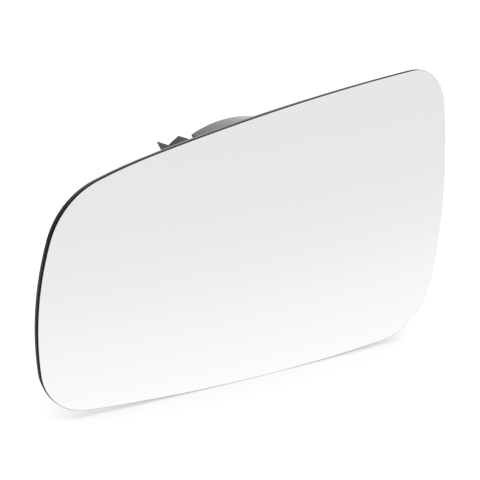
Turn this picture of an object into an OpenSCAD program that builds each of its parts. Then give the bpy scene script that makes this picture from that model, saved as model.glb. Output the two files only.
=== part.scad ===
// Left door mirror glass of a car. A convex mirror pane is bonded by a thin
// adhesive pad to a moulded plate, and the ring on the back of the plate snaps
// over the round drive that aims the mirror.
// Millimetres, +Z up. The mirror faces -Y and the ring points back along +Y.
// The origin is the middle of the ring, on the flat seat that the ring stands on.

/* [Glass] */
// Thickness of the glass
glass_t = 1.6; // [1.4:0.1:2.6]
// Radius of the convex mirror face
face_r = 1400; // [1000:50:3000]
// Distance along the ring's axis from the mirror face back to the seat
seat_depth = 6; // [5.6:0.1:8]

/* [Glass corners, centre and radius of each, from the ring's axis] */
// Upper outboard corner, sideways
upper_out_x = -57.9; // [-62:0.1:-53]
// Upper outboard corner, up
upper_out_z = 6.1; // [2:0.1:10]
// Upper outboard corner, radius
upper_out_r = 30.9; // [27:0.1:35]
// Lower outboard corner, sideways
lower_out_x = -74; // [-78:0.1:-70]
// Lower outboard corner, up
lower_out_z = -30; // [-33:0.1:-26]
// Lower outboard corner, radius
lower_out_r = 18.4; // [14:0.1:22]
// Lower inboard corner, sideways
lower_in_x = 59.1; // [54:0.1:63]
// Lower inboard corner, up
lower_in_z = -19.9; // [-23:0.1:-16]
// Lower inboard corner, radius
lower_in_r = 29.2; // [25:0.1:33]
// Upper inboard corner, sideways
upper_in_x = 75.2; // [71:0.1:80]
// Upper inboard corner, up
upper_in_z = 45.3; // [43:0.1:50]
// Upper inboard corner, radius
upper_in_r = 16.1; // [12:0.1:19]

/* [Glass sides, radius of the bow between two corners] */
// Outboard side
outboard_side_r = 111; // [95:1:200]
// Bottom
bottom_side_r = 1110; // [500:10:2500]
// Inboard side
inboard_side_r = 225; // [150:5:400]
// Top
top_side_r = 900; // [600:10:2000]
// Shoulder, where the top bends down to the upper outboard corner
shoulder_r = 200; // [150:2:300]
// Direction in which the shoulder meets that corner, in degrees from +X towards +Z
shoulder_turn = 109.6; // [107:0.2:116]

/* [Adhesive pad] */
// Thickness of the pad
pad_t = 0.6; // [0.3:0.1:1]
// How far the pad stays inside the edge of the glass
pad_inset = 3; // [1.5:0.5:6]

/* [Backing plate] */
// Wall of the plate
skin_t = 1.8; // [1.2:0.1:2.4]
// How far the plate stays inside the edge of the glass
plate_inset = 0.6; // [0.3:0.1:1.5]
// Radius of the flat seat around the ring
seat_r = 61; // [58:1:66]
// How far the seat stays inside the edge of the glass
seat_inset = 0.8; // [0.4:0.1:1.5]
// How far the rim stays inside the edge of the glass
rim_inset = 4.5; // [3:0.5:8]
// Thickness of the rim and the ribs
rib_t = 1.4; // [1:0.1:2]
// Height of the rim behind the plate
rim_h = 2; // [1:0.1:3]
// Height of the ribs behind the seat
rib_h = 2.2; // [1.5:0.1:4]
// Height of the ribs where they meet the ring
rib_root_h = 8; // [4:0.5:11]
// Length of the slope of each rib, out from the ring
rib_slope = 9; // [5:0.5:13]

/* [Floor inside the ring] */
// Radius of the ribbed floor
floor_r = 41; // [36:1:44]
// Number of spokes
spokes = 8; // [4:1:12]
// Inner radius of the hub
hub_r = 11; // [6:1:16]
// Inner radius of the middle hoop
hoop_r = 25; // [20:1:32]
// Radius of the ejector pads, where a spoke crosses the hoop
pad_r = 3; // [2:0.5:4]

/* [Drive ring] */
// Inner radius of the ring, the bore that the drive enters
ring_r = 46.4; // [44:0.1:47.5]
// Wall of the ring and of its fingers
ring_wall = 1.8; // [1.4:0.1:2.4]
// Height of the ring behind the seat
ring_h = 12; // [9:0.5:14]

/* [Snap fingers] */
// Number of fingers
fingers = 4; // [2:1:4]
// Place of the first finger, in degrees from +X towards +Z
finger_angle = 126.6; // [120:0.1:135]
// Width of a finger
finger_w = 9.6; // [6:0.1:12]
// Gap between a finger and the ring on its open side
finger_gap = 4.6; // [3:0.1:6.5]
// Gap between a finger and the ring on the side of its fin
fin_gap = 3; // [2:0.1:4]
// How far a finger stands outside the ring
finger_step = 2.8; // [2:0.1:3.2]
// How far the nose reaches in from a finger
nose_reach = 2; // [1:0.1:2.2]
// Height of the nose
nose_h = 3; // [2:0.1:5]
// Reach of the fin on a finger
fin_reach = 4.3; // [2:0.1:5]
// Thickness of the fin at its root
fin_t = 1.3; // [1:0.1:2]
// Thickness of the fin at its tip
fin_tip_t = 0.5; // [0.3:0.1:0.9]
// Lean of the fin away from straight out, in degrees
fin_lean = 13; // [0:1:30]
// How far the fin stands in from the end of its finger
fin_inset = 0.7; // [0.1:0.1:1.5]

/* [Hidden] */

// Depths behind the mirror face
pad_front = glass_t;
plate_front = glass_t + pad_t;
plate_rear = plate_front + skin_t;

// Radii of the ring and its fingers
ring_out_r = ring_r + ring_wall;
finger_out_r = ring_out_r + finger_step;
finger_in_r = finger_out_r - ring_wall;

// Angles, in degrees
finger_turn = finger_w / finger_out_r * 180 / PI;
open_turn = finger_gap / ring_out_r * 180 / PI + finger_turn / 2;
fin_turn = fin_gap / ring_out_r * 180 / PI + finger_turn / 2;

// Ribs, by their bearing from the ring's axis: outboard ones, then inboard ones
outboard_ribs = [145, 159, 173, 187, 201];
inboard_ribs = [-38, -24, -10, 4, 18, 50];

// Overlap that joins two shapes of one piece
bite = 0.4;
// How deep the ring and its fingers stand in the wall of the seat
foot = skin_t / 2;
// Largest gap between a drawn chord and the arc that it stands for
chord_error = 0.02;
// Facets of a full turn, for the round shapes that stay true curves
round_fn = 180;
dome_fn = 256;

// The corner circles of the glass
lower_in = [lower_in_x, lower_in_z, lower_in_r];
upper_in = [upper_in_x, upper_in_z, upper_in_r];
upper_out = [upper_out_x, upper_out_z, upper_out_r];
lower_out = [lower_out_x, lower_out_z, lower_out_r];
// The shoulder's circle holds the upper outboard corner and touches it
shoulder = [
    upper_out_x - (shoulder_r - upper_out_r) * cos(shoulder_turn),
    upper_out_z - (shoulder_r - upper_out_r) * sin(shoulder_turn),
    shoulder_r
];
// All circles that the outline follows, anticlockwise. Each touches the next
circles = [
    lower_in,
    bow(lower_in, upper_in, inboard_side_r),
    upper_in,
    bow(upper_in, shoulder, top_side_r),
    shoulder,
    upper_out,
    bow(upper_out, lower_out, outboard_side_r),
    lower_out,
    bow(lower_out, lower_in, bottom_side_r)
];
// As far from the ring's axis as any of the glass
reach = max([for (c = [lower_in, upper_in, upper_out, lower_out]) norm(spot(c)) + c[2]]);

function spot(circle) = [circle[0], circle[1]];
function bearing(from, to) = atan2(to[1] - from[1], to[0] - from[0]);
function after(angle, start) = angle < start ? angle + 360 : angle;

// The circle of radius r that holds two others and touches both
function bow(c1, c2, r) =
    let (
        d1 = r - c1[2],
        d2 = r - c2[2],
        apart = norm(spot(c2) - spot(c1)),
        along = (spot(c2) - spot(c1)) / apart,
        across = [-along[1], along[0]],
        a = (d1 * d1 - d2 * d2 + apart * apart) / (2 * apart),
        centre = spot(c1) + a * along + sqrt(d1 * d1 - a * a) * across
    )
    [centre[0], centre[1], r];

// The direction in which two neighbours touch, out from both centres
function touch(c1, c2) = c1[2] > c2[2] ? bearing(c1, c2) : bearing(c2, c1);

// Points of an arc, without its last one, which the next arc gives
function arc_points(centre, r, start, end) =
    let (
        turn = after(end, start) - start,
        count = ceil(turn / (2 * acos(1 - chord_error / r)))
    )
    [for (i = [0 : count - 1])
        let (a = start + turn * i / count)
        centre + r * [cos(a), sin(a)]];

// Points of the whole outline, moved in by inset
function outline_points(inset) =
    let (n = len(circles))
    [for (i = [0 : n - 1])
        let (
            circle = circles[i],
            start = touch(circles[(i + n - 1) % n], circle),
            end = touch(circle, circles[(i + 1) % n])
        )
        each arc_points(spot(circle), circle[2] - inset, start, end)];

// The pieces are drawn flat on the bench: X sideways, Y up the mirror and Z
// back along the ring's axis. This stands them up.
module upright() mirror([0, 1, -1]) children();

// The outline of the glass, moved in by inset
module outline(inset) {
    polygon(outline_points(inset));
}

// A block with that outline, long enough for any piece
module block(inset) {
    translate([0, 0, -seat_depth - 1])
        linear_extrude(seat_depth + ring_h + 2)
            outline(inset);
}

// All that lies behind a dome parallel to the mirror face
module behind(depth) {
    translate([0, 0, face_r - seat_depth])
        rotate([90, 0, 0])
            sphere(r = face_r - depth, $fn = dome_fn);
}

// A layer between two such domes
module layer(front, rear) {
    difference() {
        behind(front);
        behind(rear);
    }
}

// The mirror pane, cut from a large sphere
module mirror_glass() {
    color("#e7e8e8")
        upright()
            intersection() {
                block(0);
                layer(0, glass_t);
            }
}

// The double-sided pad that holds the pane on the plate
module adhesive_pad() {
    color("#3a3b3d")
        upright()
            intersection() {
                block(pad_inset);
                layer(pad_front, plate_front);
            }
}

// A round bar along the ring's axis, from behind the glass up to a height
module bar(r, top) {
    translate([0, 0, -seat_depth])
        cylinder(r = r, h = seat_depth + top, $fn = round_fn);
}

// A round wall or step along the ring's axis
module hoop(r, wall, top) {
    difference() {
        bar(r + wall, top);
        translate([0, 0, -1])
            bar(r, top + 2);
    }
}

// The hollow in front of the seat, which keeps its wall as thin as the skin
module seat_hollow() {
    intersection() {
        block(seat_inset + skin_t);
        translate([0, 0, -1])
            hoop(floor_r + skin_t, seat_r - floor_r - 2 * skin_t, 1 - skin_t);
    }
}

// The curved skin, with the flat seat standing on it as a round step
module plate_base() {
    difference() {
        union() {
            intersection() {
                block(plate_inset);
                layer(plate_front, plate_rear);
            }
            intersection() {
                block(seat_inset);
                behind(plate_front + skin_t / 2);
                hoop(floor_r, seat_r - floor_r, 0);
            }
        }
        seat_hollow();
    }
}

// The web on the floor inside the ring: spokes, hub, hoop and ejector pads
module floor_web() {
    intersection() {
        behind(plate_front + skin_t / 2);
        union() {
            hoop(hub_r, rib_t, 0);
            hoop(hoop_r, rib_t, 0);
            for (i = [0 : spokes - 1])
                rotate(360 * i / spokes) {
                    translate([hub_r + rib_t / 2, -rib_t / 2, -seat_depth])
                        cube([floor_r - hub_r, rib_t, seat_depth]);
                    translate([hoop_r + rib_t / 2, 0, 0])
                        bar(pad_r, 0);
                }
        }
    }
}

// The low rim along both ends of the plate, outside the seat
module rim() {
    difference() {
        intersection() {
            difference() {
                block(rim_inset);
                block(rim_inset + rib_t);
            }
            layer(plate_front + skin_t / 2, plate_rear + rim_h);
        }
        translate([0, 0, -seat_depth])
            cylinder(r = seat_r - bite, h = reach, $fn = round_fn);
    }
}

// One rib, from the ring out to the rim, seen from its side
module rib_side() {
    polygon([
        [ring_out_r - bite, -seat_depth],
        [reach, -seat_depth],
        [reach, rib_h],
        [ring_out_r + rib_slope, rib_h],
        [ring_out_r - bite, rib_root_h]
    ]);
}

module ribs() {
    intersection() {
        block(rim_inset + rib_t / 2);
        behind(plate_front + skin_t / 2);
        for (a = concat(outboard_ribs, inboard_ribs))
            rotate(a)
                rotate([90, 0, 0])
                    translate([0, 0, -rib_t / 2])
                        linear_extrude(rib_t)
                            rib_side();
    }
}

// The ring's wall, open at each finger, on a whole round foot
module ring() {
    difference() {
        translate([0, 0, -foot])
            cylinder(r = ring_out_r, h = ring_h + foot, $fn = round_fn);
        translate([0, 0, -1])
            cylinder(r = ring_r, h = ring_h + 2, $fn = round_fn);
        for (i = [0 : fingers - 1])
            rotate(finger_angle + 360 * i / fingers)
                linear_extrude(ring_h + 1)
                    polygon([
                        [0, 0],
                        2 * ring_r * [cos(open_turn), -sin(open_turn)],
                        2 * ring_r * [cos(fin_turn), sin(fin_turn)]
                    ]);
    }
}

// A finger's section: a wall with a nose that leads the drive in and holds it,
// and a toe that reaches in to the ring's foot
module finger_side() {
    polygon([
        [finger_in_r, -bite],
        [ring_out_r - bite, -bite],
        [ring_out_r - bite, -foot],
        [finger_out_r, -foot],
        [finger_out_r, ring_h],
        [finger_in_r - nose_reach / 2, ring_h],
        [finger_in_r - nose_reach, ring_h - nose_h / 2],
        [finger_in_r - nose_reach, ring_h - nose_h * 3 / 4],
        [finger_in_r, ring_h - nose_h]
    ]);
}

// The fin that stands on the outer face of a finger and thins towards its tip,
// seen along the axis
module fin_end() {
    tip = fin_reach * [cos(fin_lean), -sin(fin_lean)];
    across = [-sin(fin_lean), -cos(fin_lean)];
    polygon([
        [-ring_wall / 2, 0],
        [0, 0],
        tip,
        tip + fin_tip_t * across,
        [-ring_wall / 2, -fin_t]
    ]);
}

// One snap finger with its fin, about the +X axis
module finger() {
    rotate(-finger_turn / 2)
        rotate_extrude(angle = finger_turn, $fn = round_fn)
            finger_side();
    rotate(finger_turn / 2)
        translate([finger_out_r, -fin_inset, -bite])
            linear_extrude(ring_h + bite)
                fin_end();
}

module all_fingers() {
    for (i = [0 : fingers - 1])
        rotate(finger_angle + 360 * i / fingers)
            finger();
}

// The moulded plate, all one piece
module backing_plate() {
    color("#26272a")
        upright() {
            plate_base();
            floor_web();
            ring();
            all_fingers();
            rim();
            ribs();
        }
}

mirror_glass();
adhesive_pad();
backing_plate();
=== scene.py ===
# %% [markdown]
# # A car door mirror glass
# A door mirror glass is sold as one rigid unit: a convex pane of silvered glass, bonded to a black
# plastic moulding that snaps onto the motor inside the mirror housing. This notebook dresses the
# CAD model of such a unit: it gives the pane its ground edge and its silver, softens the edges of the
# moulding, and lights both the way a catalogue photograph does, on white.
#
# The CAD model is loaded first. Everything after this is in metres and in its frame: the mirror
# faces -Y, +Z is up, and the origin is the middle of the ring on the back.

# %% Load the CAD model
import math

import bpy
from mathutils import Euler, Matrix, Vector


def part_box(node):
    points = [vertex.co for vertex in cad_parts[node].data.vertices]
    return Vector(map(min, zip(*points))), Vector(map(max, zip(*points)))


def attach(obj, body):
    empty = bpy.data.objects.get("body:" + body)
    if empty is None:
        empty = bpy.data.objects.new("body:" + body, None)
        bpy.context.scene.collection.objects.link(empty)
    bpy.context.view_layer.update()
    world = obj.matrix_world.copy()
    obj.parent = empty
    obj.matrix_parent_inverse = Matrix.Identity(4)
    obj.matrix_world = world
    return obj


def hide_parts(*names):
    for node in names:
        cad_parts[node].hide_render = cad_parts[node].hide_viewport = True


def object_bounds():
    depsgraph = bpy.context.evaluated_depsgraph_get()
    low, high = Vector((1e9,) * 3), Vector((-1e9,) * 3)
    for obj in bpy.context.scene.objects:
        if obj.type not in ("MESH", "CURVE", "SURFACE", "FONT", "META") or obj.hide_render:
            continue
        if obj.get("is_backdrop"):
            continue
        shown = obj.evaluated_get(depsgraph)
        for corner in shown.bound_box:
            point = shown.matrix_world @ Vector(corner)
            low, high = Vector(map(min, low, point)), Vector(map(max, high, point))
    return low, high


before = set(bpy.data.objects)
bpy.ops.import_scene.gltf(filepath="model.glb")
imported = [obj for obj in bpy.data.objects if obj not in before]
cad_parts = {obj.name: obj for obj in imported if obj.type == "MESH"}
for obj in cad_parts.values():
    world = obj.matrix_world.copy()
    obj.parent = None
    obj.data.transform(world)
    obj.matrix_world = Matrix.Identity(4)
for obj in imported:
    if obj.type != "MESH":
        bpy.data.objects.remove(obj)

MM = 0.001
cad_box = [list(corner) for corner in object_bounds()]
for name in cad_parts:
    low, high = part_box(name)
    print(name, "measures", [round((b - a) / MM, 1) for a, b in zip(low, high)], "mm")

# %% [markdown]
# ## Three small helpers
# Blender's operators work on whatever is selected, so a step that changes a finished object first
# selects that object alone. A material made with nodes starts with a Principled shader, and the
# second helper fills it in. Most colours here are neutral, and the third helper writes them.

# %% Helpers
def pick(obj):
    """Selects one object only, and makes it the active one."""
    if bpy.context.object and bpy.context.object.mode != "OBJECT":
        bpy.ops.object.mode_set(mode="OBJECT")
    bpy.ops.object.select_all(action="DESELECT")
    obj.select_set(True)
    bpy.context.view_layer.objects.active = obj


def new_material(name, **values):
    """A material with a Principled shader, with its sockets set by name."""
    material = bpy.data.materials.new(name)
    material.use_nodes = True
    shader = material.node_tree.nodes["Principled BSDF"]
    for socket, value in values.items():
        shader.inputs[socket.replace("_", " ")].default_value = value
    print("Made the material", name)
    return material, material.node_tree, shader


def grey(level):
    """A neutral linear colour."""
    return (level, level, level, 1.0)


# %% [markdown]
# ## The camera
# The photograph was taken with a long lens, from the left of the mirror and a little above it.
# The place was found from the outline of the pane: its corners and sides fall on the
# photograph's when the camera stands about half a metre away, turned 34 degrees to the left and
# raised 15.5 degrees.

# %% Camera
CAMERA_TURN, CAMERA_RISE = -34.0, 15.5
CAMERA_PLACE = (-277.54, -400.72, 137.64)
camera_data = bpy.data.cameras.new("studio_camera")
camera_data.lens = 100.0
camera_data.sensor_width = 36.0
camera = bpy.data.objects.new("studio_camera", camera_data)
camera.location = [value * MM for value in CAMERA_PLACE]
camera.rotation_euler = Euler((math.radians(90 - CAMERA_RISE), 0, math.radians(CAMERA_TURN)))
bpy.context.scene.collection.objects.link(camera)
bpy.context.scene.camera = camera
print("The camera is", round(camera.location.length, 3), "m from the ring's centre")

# %% [markdown]
# ## A shared effect: fine grain
# Satin plastic, foam and ground glass all have a fine roughness that the eye reads as a texture. It
# could be cut into the meshes, but it is far finer than any face. One group makes it for all of them
# instead: a height for the bump, and a mask that shifts the roughness a little from place to place.

# %% Grain group
def make_grain():
    group = bpy.data.node_groups.new("fine_grain", "ShaderNodeTree")
    face = group.interface
    for name, value in (("Scale", 900.0), ("Cloud Scale", 40.0), ("Low", 0.3), ("High", 0.4)):
        socket = face.new_socket(name, in_out="INPUT", socket_type="NodeSocketFloat")
        socket.default_value = value
    face.new_socket("Height", in_out="OUTPUT", socket_type="NodeSocketFloat")
    face.new_socket("Roughness", in_out="OUTPUT", socket_type="NodeSocketFloat")
    nodes, links = group.nodes, group.links
    source, result = nodes.new("NodeGroupInput"), nodes.new("NodeGroupOutput")
    where = nodes.new("ShaderNodeTexCoord")
    fine, cloud = nodes.new("ShaderNodeTexNoise"), nodes.new("ShaderNodeTexNoise")
    spread = nodes.new("ShaderNodeMapRange")
    fine.inputs["Detail"].default_value = 3.0
    cloud.inputs["Detail"].default_value = 2.0
    spread.inputs["From Min"].default_value = 0.3
    spread.inputs["From Max"].default_value = 0.7
    for start, end in (
            (where.outputs["Object"], fine.inputs["Vector"]),
            (where.outputs["Object"], cloud.inputs["Vector"]),
            (source.outputs["Scale"], fine.inputs["Scale"]),
            (source.outputs["Cloud Scale"], cloud.inputs["Scale"]),
            (cloud.outputs["Fac"], spread.inputs["Value"]),
            (source.outputs["Low"], spread.inputs["To Min"]),
            (source.outputs["High"], spread.inputs["To Max"]),
            (fine.outputs["Fac"], result.inputs["Height"]),
            (spread.outputs["Result"], result.inputs["Roughness"])):
        links.new(start, end)
    return group


GRAIN = make_grain()
print("The grain group has", len(GRAIN.nodes), "nodes")

# %% Grain on a material
BUMP_STRENGTH = 0.3


def add_grain(tree, shader, scale, cloud, low, high, depth):
    """Puts the grain into a material: its roughness range, and the depth of its bump in mm."""
    node = tree.nodes.new("ShaderNodeGroup")
    node.node_tree = GRAIN
    for socket, value in (("Scale", scale), ("Cloud Scale", cloud), ("Low", low), ("High", high)):
        node.inputs[socket].default_value = value
    tree.links.new(node.outputs["Roughness"], shader.inputs["Roughness"])
    if depth:
        bump = tree.nodes.new("ShaderNodeBump")
        bump.inputs["Strength"].default_value = BUMP_STRENGTH
        bump.inputs["Distance"].default_value = depth * MM
        tree.links.new(node.outputs["Height"], bump.inputs["Height"])
        tree.links.new(bump.outputs["Normal"], shader.inputs["Normal"])


# %% [markdown]
# ## Silver
# The reflecting layer is chromium or silver, put on in a vacuum. It could be drawn with the greys
# that the photograph shows on it, but then it would be wrong from every other side. So it behaves as
# a polished metal that gives back nearly all the light with hardly any tint, and the floor gives it
# its greys. The grain group only breathes a trace of haze over it, far too little to blur what it shows.

# %% Mirror coating
silver, tree, shader = new_material("mirror_silver", Base_Color=grey(0.99), Metallic=1.0)
add_grain(tree, shader, scale=300.0, cloud=14.0, low=0.0, high=0.012, depth=0.0)

# %% [markdown]
# ## Ground edge of the glass
# Seen from the side, the pane shows its ground edge and, through the glass, the dark paint that seals
# the silver. Clear glass over a dark layer would show the same and take far longer to render, so both
# are one black surface with a soft gloss.

# %% Ground edge material
ground, tree, shader = new_material("ground_edge", Base_Color=(0.006, 0.0065, 0.0065, 1.0), IOR=1.5,
                                    Specular_IOR_Level=0.1)
add_grain(tree, shader, scale=2500.0, cloud=60.0, low=0.4, high=0.5, depth=0.004)

# %% [markdown]
# ## Black plastic
# The plate is black ABS or polypropylene, moulded in a mould with a fine spark-eroded surface. Its
# colour is close to black. The greys in a photograph are the white studio, reflected more strongly
# the flatter the surface is seen, so they are left to the shader and the studio.

# %% Plastic material
plastic, tree, shader = new_material("plate_plastic", Base_Color=(0.022, 0.0225, 0.023, 1.0), IOR=1.5)
add_grain(tree, shader, scale=1800.0, cloud=35.0, low=0.1, high=0.16, depth=0.003)

# %% [markdown]
# ## Foam pad
# The pad is a thin sheet of closed-cell foam with glue on both sides. Only its cut edge can be seen,
# deep between the glass and the plate, so the CAD piece is kept and takes a material. The foam is
# dull, and coarser than the plastic.

# %% Foam material
foam, tree, shader = new_material("pad_foam", Base_Color=(0.03, 0.03, 0.032, 1.0), IOR=1.4)
add_grain(tree, shader, scale=1400.0, cloud=50.0, low=0.75, high=0.9, depth=0.05)
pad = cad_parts["adhesive_pad"]
pad.data.materials.clear()
pad.data.materials.append(foam)

# %% [markdown]
# ## The outline of the pane
# Glass for a mirror is cut to a template and its edge is ground, so its outline is a chain of smooth
# arcs: a small one round each corner, a long shallow bow along each side, and a shoulder where the
# top bends down to the outboard corner. Each arc lies on a circle, and of two neighbours the larger
# circle holds the smaller one and touches it. Where they touch, the line through both centres leaves
# the outline square, which gives the angles at which every arc starts and ends. Points traced by
# hand would do from afar, but a mirror's edge shows every wobble.

# %% Circles of the outline
# Each corner is x, z and radius. All sizes here are in millimetres.
LOWER_IN, UPPER_IN = (59.1, -19.9, 29.2), (75.2, 45.3, 16.1)
UPPER_OUT, LOWER_OUT = (-57.9, 6.1, 30.9), (-74.0, -30.0, 18.4)
INBOARD_R, TOP_R, OUTBOARD_R, BOTTOM_R = 225.0, 900.0, 111.0, 1110.0
SHOULDER_R, SHOULDER_TURN = 200.0, math.radians(109.6)


def bow(first, second, radius):
    """The circle of a radius that holds two others and touches both."""
    a, b = Vector(first[:2]), Vector(second[:2])
    to_a, to_b = radius - first[2], radius - second[2]
    apart = (b - a).length
    along = (b - a) / apart
    across = Vector((-along.y, along.x))
    foot = (to_a**2 - to_b**2 + apart**2) / (2 * apart)
    centre = a + foot * along + math.sqrt(to_a**2 - foot**2) * across
    return (centre.x, centre.y, radius)


gap = SHOULDER_R - UPPER_OUT[2]
shoulder = (UPPER_OUT[0] - gap * math.cos(SHOULDER_TURN),
            UPPER_OUT[1] - gap * math.sin(SHOULDER_TURN), SHOULDER_R)
circles = [LOWER_IN, bow(LOWER_IN, UPPER_IN, INBOARD_R),
           UPPER_IN, bow(UPPER_IN, shoulder, TOP_R), shoulder,
           UPPER_OUT, bow(UPPER_OUT, LOWER_OUT, OUTBOARD_R),
           LOWER_OUT, bow(LOWER_OUT, LOWER_IN, BOTTOM_R)]
print("The outline runs along", len(circles), "circles")

# %% Points of the outline
POINT_STEP = 1.6


def touch(first, second):
    """The direction in which two neighbours touch, out from both centres."""
    large, small = (first, second) if first[2] > second[2] else (second, first)
    return math.atan2(small[1] - large[1], small[0] - large[0])


outline_points = []
for before, circle, following in zip(circles[-1:] + circles, circles, circles[1:] + circles):
    x, z, radius = circle
    start = touch(before, circle)
    turn = (touch(circle, following) - start) % (2 * math.pi)
    count = max(2, math.ceil(radius * turn / POINT_STEP))
    for angle in (start + turn * i / count for i in range(count)):
        outline_points.append(Vector((x + radius * math.cos(angle), z + radius * math.sin(angle))))
print("The outline has", len(outline_points), "points")

# %% [markdown]
# ## The pane, drawn flat
# The pane starts as a filled circle whose points are moved onto the outline. Pulling it back by the
# thickness of the glass gives the edge, and a bevel takes off the sharp arris at the front and at
# the back, as a grinding wheel does. Only then is the flat blank cut into small squares, one straight
# cut after another, so that it can bend smoothly in the next step.

# %% Flat blank of the pane
GLASS_T = 1.6

bpy.ops.object.select_all(action="DESELECT")
bpy.ops.mesh.primitive_circle_add(vertices=len(outline_points), radius=0.1, fill_type="NGON")
pane = bpy.context.object
pane.name = pane.data.name = "mirror_pane"
for vertex, point in zip(pane.data.vertices, outline_points):
    vertex.co = (point.x * MM, 0.0, point.y * MM)

bpy.ops.object.mode_set(mode="EDIT")
bpy.ops.mesh.select_all(action="SELECT")
bpy.ops.mesh.extrude_region_move(TRANSFORM_OT_translate={"value": (0, GLASS_T * MM, 0)})
bpy.ops.mesh.select_all(action="SELECT")
bpy.ops.mesh.normals_make_consistent(inside=False)
bpy.ops.object.mode_set(mode="OBJECT")
print("The blank has", len(pane.data.polygons), "faces")

# %% Ground edge
ARRIS = 0.15

flats = [face for face in pane.data.polygons if len(face.vertices) == len(outline_points)]
rims = {key for face in flats for key in face.edge_keys}
bpy.ops.object.mode_set(mode="EDIT")
bpy.ops.mesh.select_all(action="DESELECT")
bpy.ops.object.mode_set(mode="OBJECT")
for edge in pane.data.edges:
    edge.select = edge.key in rims
bpy.ops.object.mode_set(mode="EDIT")
bpy.ops.mesh.select_mode(type="EDGE")
bpy.ops.mesh.bevel(offset=ARRIS * MM, segments=3, profile=0.5, affect="EDGES")
bpy.ops.object.mode_set(mode="OBJECT")
print("With its arris ground it has", len(pane.data.polygons), "faces")

# %% Cuts across the blank
CUT_STEP = 4.0
HAIR = 1e-7

low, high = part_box("mirror_glass")
bpy.ops.object.mode_set(mode="EDIT")
for axis in (0, 2):
    normal = [0.0, 0.0, 0.0]
    normal[axis] = 1.0
    for i in range(1, int((high[axis] - low[axis]) / (CUT_STEP * MM)) + 1):
        place = [0.0, 0.0, 0.0]
        place[axis] = low[axis] + i * CUT_STEP * MM
        bpy.ops.mesh.select_all(action="SELECT")
        bpy.ops.mesh.bisect(plane_co=place, plane_no=normal, threshold=HAIR)
bpy.ops.object.mode_set(mode="OBJECT")
print("Cut up, it has", len(pane.data.polygons), "faces")

# %% [markdown]
# ## The silver and the bend
# The silver covers the flat front only. The arris round it and the edge behind it are ground glass.
#
# A flat blank is laid on a mould and heated until it sags into a part of a large sphere. The pane
# could be cut from a sphere instead, but a ball of flat faces shows them in what it reflects. Here
# each point moves back by the depth of the sphere below its highest point, which is a formula, so
# every point lies on the true sphere.

# %% Silver and edge
pane.data.materials.append(silver)
pane.data.materials.append(ground)
for face in pane.data.polygons:
    at_front = all(abs(pane.data.vertices[v].co.y) < HAIR for v in face.vertices)
    face.material_index = 0 if at_front else 1
    face.select = at_front
bpy.ops.object.mode_set(mode="EDIT")
bpy.ops.mesh.select_mode(type="FACE")
bpy.ops.mesh.region_to_loop()
bpy.ops.mesh.mark_sharp()
bpy.ops.object.mode_set(mode="OBJECT")
print(sum(edge.use_edge_sharp for edge in pane.data.edges), "edges stay sharp, round the silver")

# %% Bend the pane
FACE_R = 1400.0
SEAT_DEPTH = 6.0
PANE_SMOOTH = math.radians(35)

for vertex in pane.data.vertices:
    x, y, z = vertex.co
    sag = FACE_R * MM - math.sqrt((FACE_R * MM) ** 2 - x * x - z * z)
    vertex.co.y = y + sag - SEAT_DEPTH * MM
pick(pane)
bpy.ops.object.shade_smooth_by_angle(angle=PANE_SMOOTH)
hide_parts("mirror_glass")
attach(pane, "root")
rearmost = max(vertex.co.y for vertex in pane.data.vertices)
print("The rim of the bent pane reaches y =", round(rearmost / MM, 2), "mm")

# %% [markdown]
# ## The moulding, with soft edges
# No moulded edge is razor sharp: the steel mould has small radii, and they are what catches the light
# along every rib. The plate could be modelled a second time, but the CAD solid already has its form,
# with its edges sharp. So a copy is taken, its loose triangles are joined, flat areas are made single
# faces again, and a narrow bevel runs along every real edge.
#
# The bevel alone would tilt the shading of the large faces beside it. Weighted by area, the normals
# follow the large faces, and only the bevel itself turns from one to the next.

# %% A copy with whole faces
WELD = 0.002
FLAT = math.radians(0.2)

moulding = bpy.data.objects.new("moulded_plate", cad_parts["backing_plate"].data.copy())
moulding.data.name = moulding.name
bpy.context.scene.collection.objects.link(moulding)
pick(moulding)
bpy.ops.object.mode_set(mode="EDIT")
bpy.ops.mesh.select_all(action="SELECT")
bpy.ops.mesh.remove_doubles(threshold=WELD * MM)
bpy.ops.mesh.dissolve_limited(angle_limit=FLAT)
bpy.ops.object.mode_set(mode="OBJECT")
print("The copy has", len(moulding.data.polygons), "faces")

# %% Soft edges
EDGE_SOFTNESS = 0.18
REAL_EDGE = math.radians(40)

bevel = moulding.modifiers.new("edge_softness", "BEVEL")
bevel.width = EDGE_SOFTNESS * MM
bevel.segments = 2
bevel.limit_method = "ANGLE"
bevel.angle_limit = REAL_EDGE
bevel.use_clamp_overlap = True
pick(moulding)
bpy.ops.object.modifier_apply(modifier=bevel.name)
bpy.ops.object.shade_smooth_by_angle(angle=REAL_EDGE)
even = moulding.modifiers.new("even_faces", "WEIGHTED_NORMAL")
even.mode = "FACE_AREA"
even.keep_sharp = True
bpy.ops.object.modifier_apply(modifier=even.name)
moulding.data.materials.clear()
moulding.data.materials.append(plastic)
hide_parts("backing_plate")
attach(moulding, "root")
print("With soft edges it has", len(moulding.data.polygons), "faces")

# %% [markdown]
# ## The floor
# The floor is white paper. For the camera it could simply glow, but then it would lose the shadow
# that tells where the mirror stands. So it is lit like everything else, and for the camera only a part
# of it glows, which keeps the shadow as pale as in the photograph.

# %% Paper floor
FLOOR_SIZE = 8.0
floor_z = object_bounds()[0].z
bpy.ops.object.select_all(action="DESELECT")
bpy.ops.mesh.primitive_plane_add(size=FLOOR_SIZE, location=(0, 0, floor_z))
floor = bpy.context.object
floor.name = "paper_floor"
floor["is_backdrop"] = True
paper, tree, shader = new_material("white_paper", Base_Color=grey(0.9), Roughness=0.9)
floor.data.materials.append(paper)
print("The floor lies at", round(floor_z / MM, 2), "mm")

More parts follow.
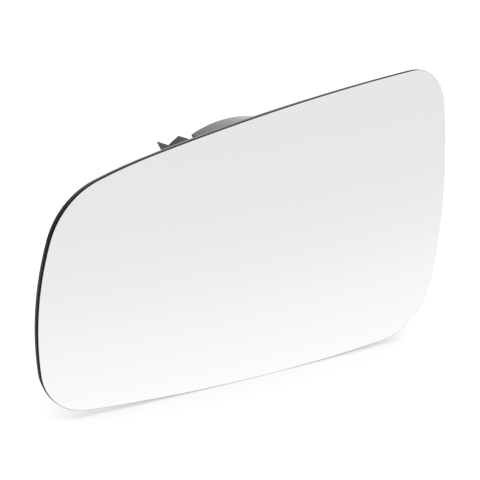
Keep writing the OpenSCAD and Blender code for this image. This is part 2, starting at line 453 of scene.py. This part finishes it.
# %% Paper as the camera sees it
PAPER_GLOW = 0.38
GLOW_STRENGTH = 1.42

nodes, links = tree.nodes, tree.links
path, to_camera = nodes.new("ShaderNodeLightPath"), nodes.new("ShaderNodeMath")
glow, lifted = nodes.new("ShaderNodeEmission"), nodes.new("ShaderNodeMixShader")
to_camera.operation = "MULTIPLY"
to_camera.inputs[1].default_value = PAPER_GLOW
glow.inputs["Strength"].default_value = GLOW_STRENGTH
for start, end in (
        (path.outputs["Is Camera Ray"], to_camera.inputs[0]),
        (to_camera.outputs["Value"], lifted.inputs["Fac"]),
        (shader.outputs["BSDF"], lifted.inputs[1]),
        (glow.outputs["Emission"], lifted.inputs[2])):
    links.new(start, end)
print("The camera sees", round(100 * (1 - PAPER_GLOW)), "% of the shadow")

# %% [markdown]
# ## The floor in reflections
# The mirror shows the paper in front of it, from its foot to half a metre away, and in the
# photograph that paper gets slightly darker with the distance. A lamp nearer to the mirror would
# darken it too, but it would light the plastic as well. So for reflections, the part of the floor in
# front of the mirror is given its brightness by a ramp over that distance. The paper behind the
# mirror is dim in reflections, as the plastic that faces it shows.
# The ramp is painted light: a painted falloff of brightness over the paper in front of the mirror.

# %% Paper in reflections
# Each stop is a distance from the ring's centre in millimetres, and the painted brightness there.
PAINTED_FLOOR_FALLOFF = [(0, 0.998), (12, 0.975), (26, 0.957), (66, 0.92), (106, 0.882), (146, 0.855),
              (186, 0.84), (226, 0.828), (306, 0.817), (486, 0.806)]
FADE_LENGTH = 500.0
# A painted shadow: in reflections, the paper behind the mirror glows at only this share of its
# brightness.
PAINTED_SHADOW_BEHIND = 0.48
FOOT_OF_PANE = -4.5

where, split = nodes.new("ShaderNodeTexCoord"), nodes.new("ShaderNodeSeparateXYZ")
distance, ramp = nodes.new("ShaderNodeMapRange"), nodes.new("ShaderNodeValToRGB")
in_front, by_place = nodes.new("ShaderNodeMath"), nodes.new("ShaderNodeMapRange")
painted_falloff, seen = nodes.new("ShaderNodeEmission"), nodes.new("ShaderNodeMixShader")
distance.inputs["From Min"].default_value = 0.0
distance.inputs["From Max"].default_value = -FADE_LENGTH * MM
in_front.operation = "LESS_THAN"
in_front.inputs[1].default_value = FOOT_OF_PANE * MM
by_place.inputs["To Min"].default_value = PAINTED_SHADOW_BEHIND
while len(ramp.color_ramp.elements) < len(PAINTED_FLOOR_FALLOFF):
    ramp.color_ramp.elements.new(1.0)
for element, (place, level) in zip(ramp.color_ramp.elements, PAINTED_FLOOR_FALLOFF):
    element.position = place / FADE_LENGTH
for element, (place, level) in zip(ramp.color_ramp.elements, PAINTED_FLOOR_FALLOFF):
    element.color = grey(level)
for start, end in (
        (where.outputs["Object"], split.inputs["Vector"]),
        (split.outputs["Y"], distance.inputs["Value"]),
        (distance.outputs["Result"], ramp.inputs["Fac"]),
        (ramp.outputs["Color"], painted_falloff.inputs["Color"]),
        (split.outputs["Y"], in_front.inputs[0]),
        (in_front.outputs["Value"], by_place.inputs["Value"]),
        (by_place.outputs["Result"], painted_falloff.inputs["Strength"]),
        (path.outputs["Is Glossy Ray"], seen.inputs["Fac"]),
        (lifted.outputs["Shader"], seen.inputs[1]),
        (painted_falloff.outputs["Emission"], seen.inputs[2]),
        (seen.outputs["Shader"], nodes["Material Output"].inputs["Surface"])):
    links.new(start, end)
print("The paper fades to", PAINTED_FLOOR_FALLOFF[-1][1], "at", PAINTED_FLOOR_FALLOFF[-1][0], "mm")

# %% [markdown]
# ## The light
# A catalogue photograph is made in a white tent: light comes from all round and above, and only the
# side where the camera stands is dark. Real lamps and cloths could be set up, but every one of them
# would be mirrored in the plastic. So the world plays the tent, and in what is seen by reflection it
# is brighter on the right, low down, and dark on the upper left, as the plastic shows. A broad, soft
# light from overhead adds a little direction, the same all over the floor. It shows in no reflection.

# %% The tent in reflections
# For each side: its direction, how far towards it the change starts and ends (1 is straight at
# it, 0 is square to it), and the brightness before and after.
CAMERA_SIDE = Vector((-0.56, -0.83, 0.0)), (0.15, 0.75), (1.0, 0.25)
BRIGHT_SIDE = Vector((0.87, 0.0, -0.5)), (-0.45, -0.04), (0.1, 1.35)

world = bpy.data.worlds.new("white_tent")
bpy.context.scene.world = world
world.use_nodes = True
nodes, links = world.node_tree.nodes, world.node_tree.links
nodes.clear()
where, brightness = nodes.new("ShaderNodeTexCoord"), nodes.new("ShaderNodeMath")
brightness.operation = "MULTIPLY"
for factor, (direction, (start, end), (before, after)) in zip(brightness.inputs,
                                                              (CAMERA_SIDE, BRIGHT_SIDE)):
    towards, change = nodes.new("ShaderNodeVectorMath"), nodes.new("ShaderNodeMapRange")
    towards.operation = "DOT_PRODUCT"
    towards.inputs[1].default_value = direction
    for socket, value in (("From Min", start), ("From Max", end), ("To Min", before), ("To Max", after)):
        change.inputs[socket].default_value = value
    links.new(where.outputs["Generated"], towards.inputs[0])
    links.new(towards.outputs["Value"], change.inputs["Value"])
    links.new(change.outputs["Result"], factor)
print("The tent's brightness takes", len(nodes), "nodes")

# %% The tent for everything else
ROOM_LIGHT = 0.85

backdrop, lit, tent = (nodes.new("ShaderNodeBackground") for _ in range(3))
by_gloss, by_camera = nodes.new("ShaderNodeMixShader"), nodes.new("ShaderNodeMixShader")
path, output = nodes.new("ShaderNodeLightPath"), nodes.new("ShaderNodeOutputWorld")
for background in (backdrop, lit, tent):
    background.inputs["Color"].default_value = grey(1.0)
lit.inputs["Strength"].default_value = ROOM_LIGHT
for start, end in (
        (brightness.outputs["Value"], tent.inputs["Strength"]),
        (path.outputs["Is Glossy Ray"], by_gloss.inputs["Fac"]),
        (lit.outputs["Background"], by_gloss.inputs[1]),
        (tent.outputs["Background"], by_gloss.inputs[2]),
        (path.outputs["Is Camera Ray"], by_camera.inputs["Fac"]),
        (by_gloss.outputs["Shader"], by_camera.inputs[1]),
        (backdrop.outputs["Background"], by_camera.inputs[2]),
        (by_camera.outputs["Shader"], output.inputs["Surface"])):
    links.new(start, end)
print("The world has", len(nodes), "nodes")

# %% Overhead light
LAMP_STRENGTH = 0.85
LAMP_WIDTH = math.radians(90)
LAMP_AIM = Vector((0.1, 0.1, -1.0))

bpy.ops.object.light_add(type="SUN", location=(0, 0, 1))
lamp = bpy.context.object
lamp.name = "overhead_light"
lamp.data.energy = LAMP_STRENGTH
lamp.data.angle = LAMP_WIDTH
lamp.visible_glossy = False
lamp.rotation_euler = LAMP_AIM.to_track_quat("-Z", "Y").to_euler()
bpy.context.scene.view_settings.view_transform = "Standard"
print("The overhead light is", round(math.degrees(lamp.data.angle)), "degrees wide")

# %% [markdown]
# ## The size, before and after
# Dressing is meant to leave the size alone. Both boxes are printed.

# %% Sizes
visual_box = [list(corner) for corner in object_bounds()]
for label, (low, high) in (("CAD", cad_box), ("visual", visual_box)):
    print(label, "box", [round((b - a) / MM, 2) for a, b in zip(low, high)], "mm")
